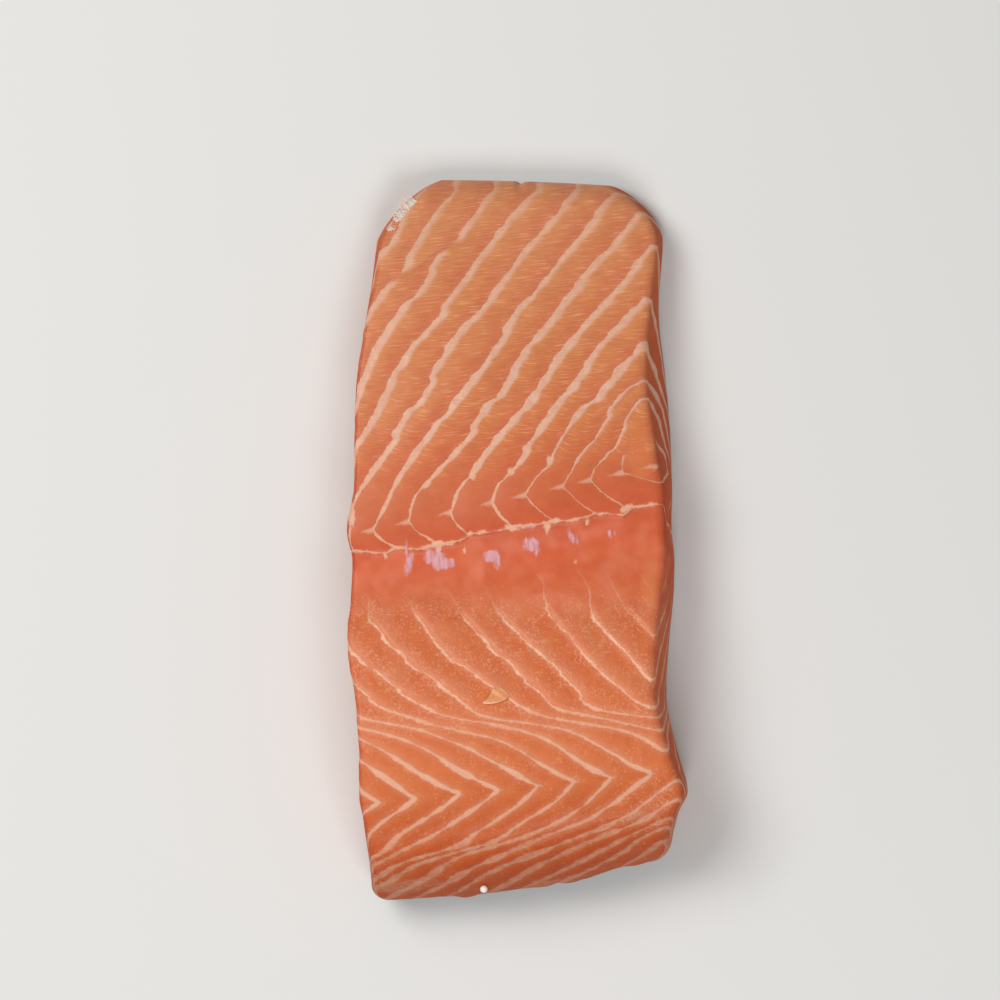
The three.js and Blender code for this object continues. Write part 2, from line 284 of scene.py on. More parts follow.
def crossings_at(level):
    """The x of every sheet at a level: cubic pieces between the rows, with a corner where sheets turn."""
    rows = -np.array([row[0] for row in SHEET_ROWS])
    table = sheet_crossings()
    steepness = np.diff(table) / np.diff(rows)
    before = np.concatenate([steepness[:, :1], steepness], axis=1)
    after = np.concatenate([steepness, steepness[:, -1:]], axis=1)
    corner = np.isin(np.arange(len(rows)), (NODE_ROW, SEAM_ROW, APEX_ROW))
    leaving = np.where(corner, after, (before + after) / 2)
    arriving = np.where(corner, before, (before + after) / 2)
    i = np.clip(np.searchsorted(rows, -level, side="right") - 1, 0, len(rows) - 2)
    span = (rows[1:] - rows[:-1])[i]
    t = (-level - rows[i]) / span
    return [
        cubic(t, span, line[i], line[i + 1], out[i], into[i + 1])
        for line, out, into in zip(table, leaving, arriving)
    ]


def above_tear(x, y):
    """Distance above the tear, whose line bends a little, and its strength, which fades rightwards."""
    (from_x, from_y), (to_x, to_y) = TEAR["from"], TEAR["to"]
    above = y - from_y - (to_y - from_y) * (x - from_x) / (to_x - from_x)
    return above + TEAR_BEND["height"] * np.sin(TEAR_BEND["turn"] * x), ease(x, to_x, to_x - TEAR["fade"])


def slipped(x, y):
    """The x that a point had before the tear: both sides slip apart, less with the distance from it."""
    above, strength = above_tear(x, y)
    upwards = 2 * ease(above, -TEAR["lip"], TEAR["lip"]) - 1
    return x - TEAR["slip"] * strength * np.exp(-np.abs(above) / TEAR["reach"]) * upwards


def sheet_phase(x, y):
    """The number of the sheet on a point's left, plus the share of the way to the next sheet."""
    x = slipped(x, y)
    crossings = crossings_at(level_at(x, y))
    return FIRST_SHEET + sum(np.clip((x - a) / (b - a), 0, 1) for a, b in zip(crossings, crossings[1:]))


def by_level(level, levels, values):
    """A value that changes evenly between the given levels, which run downwards."""
    values = np.asarray(values, float)
    if values.ndim == 1:
        return np.interp(-level, -np.asarray(levels, float), values)
    return np.stack([by_level(level, levels, column) for column in values.T], axis=-1)


def back_edge(u):
    """The y of the back end at the share u of the width: a parabola that is level at the left."""
    return BACK_END + BACK_SKEW * u * u


def belly_edge(u):
    """The y of the belly end at the share u of the width, in the same way."""
    return BELLY_END + BELLY_SKEW * u * u


def above_seam(x, y):
    """Distance above the seam, measured along y."""
    seam_x, seam_y = zip(*SEAM_LINE)
    return y - np.interp(x, seam_x, seam_y)


def jogs(phase, level):
    """Sideways jogs of the sheets: each keeps to a random offset for a stretch, then steps to another."""
    lattice = np.random.default_rng(JOG_SEED).uniform(-1, 1, (LAST_SHEET - FIRST_SHEET + 1, 128))
    sheet = np.clip(np.round(phase).astype(int) - FIRST_SHEET, 0, LAST_SHEET - FIRST_SHEET)
    belly = ease(level, 0, 4)
    length = JOG_LENGTH["belly"] * belly + JOG_LENGTH["loin"] * (1 - belly)
    stretch = level / length + JOG_START * sheet
    block = np.floor(stretch).astype(int)
    step = ease(stretch - block, JOG_HOLD, 1)
    here, there = lattice[sheet, block % 128], lattice[sheet, (block + 1) % 128]
    return by_level(level, SHEET_LEVEL, JOG) * (here + (there - here) * step)


def ledged_at(y):
    """How far the ledges are there: none, rising to all of them, and falling to none again."""
    low, low_full, high_full, high = LEDGES_BETWEEN
    return ease(y, low, low_full) * (1 - ease(y, high_full, high))


def ledges(phase, y):
    """Saw-toothed ledges: the flesh stands proud at the left of each step and slopes down to the next."""
    across = phase % 1
    tooth = np.where(across < LEDGE_RISE, across / LEDGE_RISE, (1 - across) / (1 - LEDGE_RISE))
    return LEDGE_HEIGHT * (ease(tooth, 0, 1) - 0.5) * ledged_at(y)


def relief(x, y):
    """The low relief of the top: seam step, channel, ledges, pillows between sheets, waves and swell."""
    phase = sheet_phase(x, y)
    from_seam = y - SHEET_ROWS[SEAM_ROW][0] - SHEET_ROWS[SEAM_ROW][1] * x
    step = SEAM_STEP * (ease(above_seam(x, y), *SEAM_STEP_RISE) - ease(from_seam, *SEAM_STEP_FADE))
    channel = CHANNEL["depth"] * np.exp(-(((from_seam + CHANNEL["below"]) / CHANNEL["half_width"]) ** 2))
    arch = np.sin(np.pi * (phase % 1)) - MEAN_OF_ARCH
    pillow = by_level(level_at(x, y), PILLOW_LEVEL, PILLOW_HEIGHT) * arch
    waves = sum(height * np.sin(a * x + b * y + shift) for a, b, shift, height in WAVES)
    belly = ease(from_seam, 0, 8)
    swells = 0
    for size, in_belly, in_loin, seed in SWELLS:
        swells += (in_loin + (in_belly - in_loin) * belly) * (swell(x, y, size, seed) - 1) / 2
    return step - channel + ledges(phase, y) + pillow + waves + swells


def corner_pull(side, from_back, from_belly):
    """How far a side edge is drawn in at the corners, by its distances from the two ends."""
    pull = lambda distance, corner: corner[0] * (1 - rounding(distance, corner[0], corner[1]))
    return pull(from_back, BACK_NOSE[side]) + pull(from_belly, BELLY_NOSE[side])


def bumps(run, row, swells):
    """The sum of some swells, each from nothing up to its height, along a row of their lattice."""
    return sum(height * (1 + swell(run, row, size, seed)) / 2 for size, height, seed in swells)


def section_lines(w):
    """The named lines of the section at the share w of the length, from the back to the belly end."""
    y_left = back_edge(0) + (belly_edge(0) - back_edge(0)) * w
    y_right = back_edge(1) + (belly_edge(1) - back_edge(1)) * w
    pull_left = corner_pull("left", y_left - back_edge(0), belly_edge(0) - y_left)
    pull_right = corner_pull("right", y_right - back_edge(1), belly_edge(1) - y_right)
    right = along(y_right, RIGHT_EDGE) - pull_right
    return {
        "w": w,
        "left": along(y_left, LEFT_EDGE) + pull_left + bumps(y_left, EDGE_ROWS["left"], EDGE_SWELLS),
        "crest": right - along(y_right, RIGHT_LEAN) - bumps(y_right, EDGE_ROWS["right"], EDGE_SWELLS),
        "left_foot": LEFT_FOOT["x"] + LEFT_FOOT["bend"] * (y_left - LEFT_FOOT["y"]) ** 2 + pull_left,
        "right_foot": right,
        "left_radius": SHOULDER_RADIUS["left"] + SHOULDER_RADIUS["at_corners"] * pull_left,
        "right_radius": SHOULDER_RADIUS["right"] + SHOULDER_RADIUS["at_corners"] * pull_right,
    }


def y_at(w, u):
    """The y of a ring: a share of the way between the ends, less the back's lumps and the belly's notch."""
    lumps = bumps(END_LUMPS_RUN * u, EDGE_ROWS["back"], END_LUMPS) * (1 - w) ** END_LUMPS_FADE
    notch = NOTCH["depth"] * np.exp(-(((u - NOTCH["place"]) / NOTCH["half_width"]) ** 2))
    return (back_edge(u) + lumps) * (1 - w) + belly_edge(u) * w - notch * w ** NOTCH["fade"]


def full_height(w, u, x):
    """The height before the ends round off: that of the stations, the crown and the relief."""
    y = y_at(w, u)
    return along(y, FLESH_HEIGHT) + CROWN * (1 - (2 * u - 1) ** 2) + relief(x, y)


def settled(w, u, z, full):
    """Draws a height z, out of a full one, towards the foremost point of the nearer end."""
    length = belly_edge(u) - back_edge(u)
    from_back, from_belly = length * w, length * (1 - w)
    at_back = from_back < from_belly
    distance = np.minimum(from_back, from_belly)
    nose = lambda name: np.where(at_back, BACK_NOSE[name], BELLY_NOSE[name])
    share = np.clip(z / full, 0, 1)
    share = (1 - share) * rounding(distance, nose("under")) + share * rounding(distance, nose("top"))
    return nose("height") + (z - nose("height")) * share


def shoulder_drop(lines, x):
    """How far the two shoulders drop the top at x."""
    left = lines["left_radius"] * (1 - rounding(x - lines["left"], lines["left_radius"]))
    return left + lines["right_radius"] * (1 - rounding(lines["crest"] - x, lines["right_radius"]))


def flesh_settled(w, u, z, full):
    """A height of the flesh with its ends rounded off, on top of the skin."""
    return SKIN_THICKNESS + settled(w, u, z - SKIN_THICKNESS, full - SKIN_THICKNESS)


def on_top(x, y):
    """Height of the top of the flesh at a place, found by stepping to the section through it."""
    u = 0.5 + 0 * x
    for _ in range(4):
        w = (y - back_edge(u)) / (belly_edge(u) - back_edge(u))
        lines = section_lines(w)
        u = np.clip((x - lines["left"]) / (lines["crest"] - lines["left"]), 0, 1)
    full = full_height(w, u, x)
    return flesh_settled(w, u, full - shoulder_drop(lines, x), full)


def top_of_flesh(lines):
    """The top from the left cut to the right one, with its shoulders rounded over: u, x, z and full z."""
    t = np.linspace(0, 1, TOP_STEPS + 1)
    u = t - CROWDING * np.sin(2 * np.pi * t) / (2 * np.pi) + 0 * lines["w"]
    x = lines["left"] + (lines["crest"] - lines["left"]) * u
    full = full_height(lines["w"], u, x)
    return u, x, full - shoulder_drop(lines, x), full


def side_of_flesh(lines, u, top, foot, radius, outward):
    """A knife cut from its shoulder down and round its foot; outward is -1 on the left, 1 on the right."""
    full = full_height(lines["w"], u, lines[top])
    t = np.arange(1, CUT_STEPS) / CUT_STEPS
    low = SKIN_THICKNESS + FOOT_RADIUS
    x = lines[top] + (lines[foot] - lines[top]) * t + outward * CUT_BULGE * np.sin(np.pi * t)
    z = (full - lines[radius]) * (1 - t) + low * t
    turn = np.linspace(0, np.pi / 2, FOOT_STEPS + 1)
    x = np.concatenate([x, lines[foot] - outward * FOOT_RADIUS * (1 - np.cos(turn))], axis=1)
    z = np.concatenate([z, low - FOOT_RADIUS * np.sin(turn) + 0 * lines["w"]], axis=1)
    return u + 0 * x, x, z, full + 0 * x


def base_of_flesh(lines):
    """The underside of the flesh from the right foot back to the left one, without its ends."""
    u = 1 - np.arange(1, BASE_STEPS) / BASE_STEPS + 0 * lines["w"]
    from_x, to_x = lines["left_foot"] + FOOT_RADIUS, lines["right_foot"] - FOOT_RADIUS
    return u, from_x + (to_x - from_x) * u, SKIN_THICKNESS + 0 * u, UNDERSIDE_DEPTH + 0 * u


def length_shares(rows):
    """Shares of the length for the rings: by equal turns round each tip and evenly in between."""
    length = BELLY_END - BACK_END
    step = (length - BACK_NOSE["top"] - BELLY_NOSE["top"]) / rows
    round_tip = lambda reach, count: reach * (1 - np.cos(np.linspace(0, np.pi / 2, count, endpoint=False)))
    back = np.maximum(round_tip(BACK_NOSE["top"], rows // 8), TIP_FLAT)
    belly = length - np.maximum(round_tip(BELLY_NOSE["top"], rows // 16), TIP_FLAT)
    middle = np.arange(BACK_NOSE["top"], length - BELLY_NOSE["top"] + step / 2, step)
    return (np.concatenate([back, middle, belly[::-1]]) / length)[:, None]


def skinned_rings(points, turn=None):
    """The faces of closed rings, points[ring, place]: quads between rings, and a cap at each end.

    A cap is one many-sided face, or a strip of triangles where an end is long and thin. Its rings then run
    out to larger x up to the place turn, and back again after it.
    """
    rings, places = points.shape[:2]
    index = np.arange(rings * places).reshape(rings, places)
    beside = np.roll(index, -1, axis=1)
    quads = np.stack([index[:-1], beside[:-1], beside[1:], index[1:]], axis=-1).reshape(-1, 4).tolist()
    if turn is None:
        return quads + [index[0, ::-1].tolist(), index[-1].tolist()]
    last = [face[::-1] for face in thin_cap(points[-1, :, 0], turn, index[-1, 0])]
    return quads + thin_cap(points[0, :, 0], turn, 0) + last


def thin_cap(x, turn, first):
    """Triangles across a thin ring, between its way out and its way back, which advance together in x."""
    out, back = list(range(turn + 1)), list(range(len(x) - 1, turn, -1))
    faces, i, j = [], 0, 0
    while i < len(out) - 1 or j < len(back) - 1:
        along_out = j == len(back) - 1 or (i < len(out) - 1 and x[out[i + 1]] <= x[back[j + 1]])
        if along_out:
            faces.append((out[i + 1], out[i], back[j]))
            i += 1
        else:
            faces.append((back[j], back[j + 1], out[i]))
            j += 1
    return [tuple(int(first) + place for place in face) for face in faces]


def mesh_piece(name, points, faces, material):
    """A smooth piece of the object from points in millimetres, which rides with the fillet."""
    mesh = bpy.data.meshes.new(name)
    mesh.from_pydata((points.reshape(-1, 3) * MM).tolist(), [], faces)
    mesh.polygons.foreach_set("use_smooth", np.ones(len(faces), bool))
    mesh.materials.append(material)
    piece = bpy.data.objects.new(name, mesh)
    bpy.context.scene.collection.objects.link(piece)
    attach(piece, "root")
    return piece


def give(piece, name, values):
    """Stores one number, or one colour, for every point of a piece, for its material to read."""
    if values.shape[-1] == 3 and values.ndim == 3:
        colour = np.concatenate([values.reshape(-1, 3), np.ones((values.size // 3, 1))], axis=1)
        data = piece.data.attributes.new(name, "FLOAT_COLOR", "POINT").data
        data.foreach_set("color", colour.astype(np.float32).ravel())
    else:
        data = piece.data.attributes.new(name, "FLOAT", "POINT").data
        data.foreach_set("value", values.astype(np.float32).ravel())


LEAST_AREA = 1e-9
STEEPNESS_LIMITS = (0.006, 4)


def spacing_of(phase, points):
    """Millimetres from a sheet to the next, across them on the surface: one over the phase's steepness."""
    along_ring, along_length = np.gradient(points, axis=1), np.gradient(points, axis=0)
    e, g = (along_ring**2).sum(-1), (along_length**2).sum(-1)
    f = (along_ring * along_length).sum(-1)
    p, q = np.gradient(phase, axis=1), np.gradient(phase, axis=0)
    steepness = (g * p * p - 2 * f * p * q + e * q * q) / np.maximum(e * g - f * f, LEAST_AREA)
    return 1 / np.sqrt(np.clip(steepness, *STEEPNESS_LIMITS))


def turned(x, y, mark):
    """Place within a mark, in halves of its size, after turning by its angle."""
    middle_x, middle_y, half_x, half_y, angle = mark
    dx, dy = x - middle_x, y - middle_y
    along_x, along_y = dx * np.cos(angle) + dy * np.sin(angle), dy * np.cos(angle) - dx * np.sin(angle)
    return along_x / half_x, along_y / half_y


# Linear colours of the flesh and of the fat at levels; how the flesh turns from the sheet on its left to
# the next one, which in the loin is painted light on each ledge's crest and painted shade in its recess;
# its tone on the knife cuts, partly deeper red and partly painted shade; and the painted shade that darkens
# it along their edges.
TONE_LEVEL = [81, 60, 30, 12, 4, -2, -9, -16, -30, -38, -50, -60, -66, -70, -81]
FLESH_TONE = [
    (0.60, 0.225, 0.105), (0.62, 0.218, 0.095), (0.62, 0.20, 0.082), (0.60, 0.145, 0.058),
    (0.58, 0.11, 0.042), (0.63, 0.118, 0.044), (0.66, 0.142, 0.056), (0.65, 0.18, 0.078),
    (0.665, 0.195, 0.086), (0.66, 0.175, 0.066), (0.63, 0.17, 0.06), (0.54, 0.118, 0.028),
    (0.52, 0.10, 0.022), (0.48, 0.085, 0.018), (0.38, 0.07, 0.016),
]
FAT_TONE = [
    (0.70, 0.41, 0.27), (0.71, 0.41, 0.28), (0.72, 0.40, 0.28), (0.74, 0.40, 0.27), (0.76, 0.42, 0.28),
    (0.78, 0.44, 0.30), (0.76, 0.40, 0.26), (0.78, 0.40, 0.26), (0.80, 0.41, 0.27), (0.77, 0.37, 0.23),
    (0.71, 0.35, 0.225), (0.67, 0.325, 0.205), (0.60, 0.28, 0.17), (0.56, 0.27, 0.165), (0.49, 0.25, 0.16),
]
BELLY_TURN = ((1.03, 1.10, 0.98), (0.97, 0.86, 0.87))
LEDGE_LIGHT_AND_SHADE_TURN = ((1.05, 1.16, 1.25), (0.99, 0.84, 0.66))
CUT_FACE_TONE_AND_SHADE = (0.56, 0.105, 0.032)
PAINTED_RIM_SHADE = {"turn": (0.86, 0.55, 0.45), "reach": 1.3}

# How far each kind of unevenness lightens the flesh, and how high each kind stands out of it.
LIGHTENS = {"mottle": 0.14, "fibre": 0.5, "speckle": 0.35, "wander": 0.16}
STANDS = {"grain": 0.22, "fibre": 0.07, "fat": 0.08, "mark": 0.12}

# How strongly red, green and blue follow a change of lightness, and the linear colours of what lies over
# the tone of the flesh: the golden patches, the painted shade beside a ledge, the haze of the trough, the
# wet grain, the painted highlights on the fibres, the painted shade in the fold of the tear, the film, the
# fat, the pin bones' marks and the painted highlights on wet tips.
RELIT_CHANNELS = (0.65, 1.25, 1.35)
GOLD = (0.68, 0.21, 0.07)
PAINTED_LEDGE_SHADE = (0.55, 0.12, 0.03)
TAN = (0.59, 0.20, 0.085)
HAZE = (0.70, 0.21, 0.115)
PALE_GRAIN = (0.82, 0.38, 0.21)
PAINTED_FIBRE_HIGHLIGHT = (0.87, 0.47, 0.27)
TEAR_FOLD_SHADE = (0.42, 0.12, 0.05)
FILM = (0.52, 0.26, 0.15)
FAT_CORE = (0.92, 0.61, 0.45)
FAT_WHITE = (0.80, 0.53, 0.41)
BONE_MARK = ((0.70, 0.40, 0.45), (0.62, 0.27, 0.28))
BONE_MARK_STRETCH = (1.5, 0.3, 1)
PAINTED_GLINT = (1.0, 0.80, 0.66)
FLESH_GLOW = (1.0, 0.35, 0.15)  # how far light goes on under the surface, by colour

# The belly's fibres: their size, how far each sheet's are shifted against the last one's, in their length,
# and how they slope and sag between the given y.
FIBRES = {"length": 8, "width": 0.3, "shift": 1.2}
FIBRE_SLOPE = {"by": 0.12, "y": (10, 70)}
FIBRE_SAG = {"by": 0.9, "y": (55, 20)}

# The levels between which a trait of the flesh sets in, from none of it to all of it, and the depths under
# the top between which the look of a knife cut does.
SETS_IN = {
    "belly": (8, 22), "loin": (-9, -16), "fibres": (9, 25), "trough": (-18, -12),
    "finer grain": (-36, -46), "smooth back": (-64, -74), "dull back": (-62, -76),
    # turn and more turn: where the painted light and shade between sheets also sets in further back
    "coarse patch": (-48, -54), "end of patch": (-69, -64), "turn": (-38, -44), "more turn": (-62, -67),
}
PATCH_X = (18, 28)  # where a patch of coarse grain sets in at the right
ON_CUT = {"face": (0.5, 4), "dull": (0.1, 1.5), "no fibres": (0.1, 1.3), "tone": (0.4, 7)}
CUT_TONE_SHARE = 0.85
OUT_OF_SIGHT = 40  # what is stored where nothing of a kind may show

# What the pin bones left in the channel: lilac marks, each with its middle, half its size and its turn.
BONE_MARKS = [
    (-24.0, -4.9, 0.8, 2.3, -0.15), (-24.5, -1.9, 0.3, 1.4, 0.0), (-19.3, -3.4, 1.3, 1.5, 0.2),
    (-17.4, -4.2, 1.4, 2.1, -0.1), (-15.2, -4.9, 1.4, 1.1, 0.1), (-5.9, -3.2, 1.6, 1.2, 0.2),
    (-4.4, -4.0, 0.7, 1.7, 0.0), (3.2, -0.7, 1.7, 1.5, 0.0), (4.3, -1.3, 0.8, 1.6, 0.1),
    (12.0, 1.2, 0.6, 1.6, 0.45), (13.2, 0.2, 0.3, 0.9, 0.3), (20.6, 1.7, 0.35, 0.6, 0.1),
    (21.6, 1.9, 0.2, 0.4, 0.0), (2.9, 3.3, 0.9, 0.3, 0.1),
]
# Lumps of fat that hang from the seam or end a stripe, given in the same way.
FAT_LUMPS = [
    (-29.3, -3.1, 0.4, 0.8, 0.1), (-17.6, -0.5, 1.5, 0.9, 0.2), (-17.4, -1.5, 0.7, 1.1, 0.0),
    (-11.7, -1.8, 0.35, 0.9, 0.0), (-10.4, 1.8, 0.7, 0.55, 0.3), (-1.3, 3.0, 1.7, 0.7, -0.1),
    (6.8, 3.4, 1.0, 0.7, 0.1), (6.8, 2.6, 0.45, 0.9, 0.0), (8.6, 4.6, 0.8, 0.7, 0.6),
    (15.6, 4.4, 0.5, 0.9, -0.1), (24.2, 7.4, 1.6, 0.8, 0.4), (12.9, -4.5, 0.3, 0.6, -0.3),
    (-19.9, 12.7, 0.6, 1.2, -0.6), (-9.8, 14.5, 0.8, 0.8, 0.3), (-1.3, 15.5, 0.8, 0.9, 0.2),
    (7.3, 17.9, 0.7, 1.2, 0.0), (30.6, 16.4, 0.5, 0.8, -0.6), (-24.6, 62.3, 0.5, 0.25, 0.5),
    (-25.6, 75.0, 1.0, 3.6, -0.85), (-28.8, 71.2, 0.9, 2.2, -0.6), (-22.3, 78.4, 0.6, 2.2, -0.95),
    (-36.9, 6.3, 1.0, 3.2, 0.1),
]
# Greyish films on the rounded back and smooth golden patches at the right, given in the same way.
FILMS = [(-24.5, -76.5, 7.0, 1.6, 0.15), (7.0, -76.5, 3.4, 1.0, 0.1), (27.0, -61.0, 3.0, 1.5, 0.3)]
GOLD_PATCHES = [(27.6, 20.0, 3.2, 6.4, 0.0), (29.3, -9.0, 2.0, 6.5, 0.0)]


class Value:
    """A value that changes over the surface, put out by a shader node. Each sign places one Math node."""

    def __init__(self, socket):
        self.socket = socket
        self.tree = socket.id_data

    def __add__(self, other):
        return calc("ADD", self, other)

    def __sub__(self, other):
        return calc("SUBTRACT", self, other)

    def __rsub__(self, other):
        return calc("SUBTRACT", other, self)

    def __mul__(self, other):
        return calc("MULTIPLY", self, other)

    def __truediv__(self, other):
        return calc("DIVIDE", self, other)

    def __abs__(self):
        return calc("ABSOLUTE", self)


def put(tree, kind, feeds=(), **settings):
    """A shader node of a kind, with its settings made and its inputs fed by values, numbers or colours."""
    made = tree.nodes.new(kind)
    for key, value in settings.items():
        setattr(made, key, value)
    for key, value in dict(feeds).items():
        entry = made.inputs[key]
        if isinstance(value, Value):
            tree.links.new(value.socket, entry)
        else:
            entry.default_value = (*value, 1) if entry.type == "RGBA" else value
    return made


def calc(operation, *values, clamp=False):
    """The result of one Math node."""
    tree = next(value.tree for value in values if isinstance(value, Value))
    made = put(tree, "ShaderNodeMath", enumerate(values), operation=operation, use_clamp=clamp)
    return Value(made.outputs[0])


def largest(first, *others):
    """The largest of several values."""
    for other in others:
        first = calc("MAXIMUM", first, other)
    return first


def weighed(shares, **values):
    """The sum of some values, each times its share."""
    total, *others = (value * shares[name] for name, value in values.items())
    for other in others:
        total = total + other
    return total


def vector_calc(tree, operation, feeds):
    """The result of one Vector Math node."""
    return Value(put(tree, "ShaderNodeVectorMath", feeds, operation=operation).outputs[0])


def fade(value, low, high, to_low=0.0, to_high=1.0):
    """Smooth step from to_low, where value is low, to to_high, where it is high."""
    feeds = {"Value": value, "From Min": low, "From Max": high, "To Min": to_low, "To Max": to_high}
    made = put(value.tree, "ShaderNodeMapRange", feeds, interpolation_type="SMOOTHSTEP")
    return Value(made.outputs["Result"])


# The places of the Mix node's colours among its inputs and outputs, which share their names with others.
COLOUR_ENTRIES = (6, 7)
COLOUR_EXIT = 2


def tint(share, first, second):
    """A colour on the way from first to second by share."""
    feeds = {"Factor": share, COLOUR_ENTRIES[0]: first, COLOUR_ENTRIES[1]: second}
    return Value(put(share.tree, "ShaderNodeMix", feeds, data_type="RGBA").outputs[COLOUR_EXIT])


def layered(colour, *layers):
    """A colour with others laid over it, each as far as its share goes."""
    for over, share in layers:
        colour = tint(share, colour, over)
    return colour


def stored(tree, name, output="Fac"):
    """What a piece stores at each of its points under a name."""
    return Value(put(tree, "ShaderNodeAttribute", attribute_name=name).outputs[output])


def object_place(tree):
    """The place of a point of the surface in the piece's own frame, in metres."""
    return Value(put(tree, "ShaderNodeTexCoord").outputs["Object"])


def noise(place, size, detail=2.0, roughness=0.5):
    """Noise from 0 to 1 with bumps of a size."""
    feeds = {"Vector": place, "Scale": 1 / size, "Detail": detail, "Roughness": roughness}
    return Value(put(place.tree, "ShaderNodeTexNoise", feeds).outputs["Fac"])


def bump(height):
    """The normal over a fine relief, whose height is in millimetres."""
    feeds = {"Strength": 1.0, "Distance": MM, "Height": height}
    return Value(put(height.tree, "ShaderNodeBump", feeds).outputs["Normal"])


def made_material(name, wire):
    """A material: the function wire places its nodes in a tree, and gives back what feeds its shader."""
    material = bpy.data.materials.new(name)
    material.use_nodes = True
    tree = material.node_tree
    tree.nodes.clear()
    shader = put(tree, "ShaderNodeBsdfPrincipled", wire(tree))
    put(tree, "ShaderNodeOutputMaterial", {"Surface": Value(shader.outputs[0])})
    return material


def made_grain_group():
    """The grain of raw flesh: speckle for its colour, height for its bump and glints for its wet tips."""
    group = bpy.data.node_groups.new("wet grain", "ShaderNodeTree")
    group.interface.new_socket("Place", in_out="INPUT", socket_type="NodeSocketVector")
    group.interface.new_socket("Amount", in_out="INPUT", socket_type="NodeSocketFloat")
    for name in ("Speckle", "Height", "Glint"):
        group.interface.new_socket(name, in_out="OUTPUT", socket_type="NodeSocketFloat")
    place, amount = (Value(socket) for socket in list(put(group, "NodeGroupInput").outputs)[:2])
    both = noise(place, 1.4 * MM, 2, 0.6) * 0.3 + noise(place, 0.55 * MM, 2, 0.6) * 0.7
    speckle = (both - 0.5) * (amount * fade(noise(place, 4.2 * MM), 0.38, 0.62, 0.6, 1.25))
    wet_tips = fade(noise(place, 0.8 * MM, 3, 0.7), 0.62, 0.73)
    glint = wet_tips * (fade(noise(place, 2.4 * MM, 3, 0.6), 0.48, 0.6) * amount)
    put(group, "NodeGroupOutput", {"Speckle": speckle, "Height": speckle + glint * 0.5, "Glint": glint})
    return group


grain_group = made_grain_group()


def wet_grain(place, amount):
    """The speckle, the height and the glints of the wet grain, in a material."""
    made = put(place.tree, "ShaderNodeGroup", {"Place": place, "Amount": amount}, node_tree=grain_group)
    return [Value(socket) for socket in made.outputs]


def relit(colour, share):
    """A colour times one plus share, less so for red, because wet flesh turns redder as it turns darker."""
    change = vector_calc(colour.tree, "SCALE", {0: RELIT_CHANNELS, "Scale": share})
    factor = vector_calc(colour.tree, "ADD", {0: change, 1: (1.0, 1.0, 1.0)})
    return vector_calc(colour.tree, "MULTIPLY", {0: colour, 1: factor})


def stripes(tree, ragged, wander, slow):
    """How far right of the nearest sheet a point is, how far inside it, and the stripe that it makes."""
    belly = stored(tree, "belly")
    signed = (calc("FRACT", stored(tree, "phase") + 0.5) - 0.5) * stored(tree, "spacing")
    signed = signed + stored(tree, "jog") + ragged * stored(tree, "frayed")
    softer_right = fade(signed, -0.3, 0.3, -0.4, 1.4) * belly
    uneven = wander * 1.1 + slow * (2.2 - belly * 1.2)
    inside = stored(tree, "half_width") * (uneven + 1.0) - abs(signed)
    stripe = fade(inside / (stored(tree, "softness") * (softer_right + 1.0)), -0.5, 0.5)
    halo = fade(abs(signed), *HALO_REACH) * stored(tree, "halo")
    return signed, inside, largest(stripe * stored(tree, "strength"), halo)


def seam_and_lumps(tree, signed, ragged, wander):
    """The seam, the wedges and spurs that lie beside each turn of a sheet, and the lumps."""
    seam_gap = abs(stored(tree, "above_seam") + ragged * 1.2)
    seam = fade(wander * 1.5 + SEAM_HALF_WIDTH - seam_gap, -0.2, 0.25)
    wedge = signed * 0.27 + WEDGE_HALF_HEIGHT - abs(stored(tree, "above_nodes") + ragged)
    wedge = fade(wedge, -0.2, 0.7) * fade(signed, 0.5, 0.1, 0.0, 0.8)
    spur = SPUR_HALF_HEIGHT - signed * 0.36 - abs(stored(tree, "above_apexes") + ragged)
    spur = fade(spur, -0.15, 0.25) * fade(signed, -0.2, 0.1, 0.0, 0.8)
    lump = fade(stored(tree, "fat_lump") + ragged * 1.3, 0.2, -0.25)
    return largest(seam * 0.9, wedge, spur, lump)


def fat_colour_of(tree, place, inside, vein):
    """Pale pink fat, with a paler core in the loin's stripes and whiter patches in the belly's."""
    belly = stored(tree, "belly")
    dashed = largest(fade(noise(place, 1.5 * MM), 0.38, 0.58), fade(stored(tree, "frayed"), 0.8, 0.6))
    core = fade(inside, -0.05, 0.3) * fade(belly, 1, 0) * dashed
    core = core * fade(stored(tree, "ledged"), 0, 1, 0.2, 0.55)
    whiter = fade(noise(place, 2.2 * MM, 3, 0.6), 0.42, 0.62) * belly
    tone = relit(stored(tree, "fat_tone", "Color"), vein)
    return layered(tone, (FAT_CORE, core), (FAT_WHITE, whiter * 0.35))


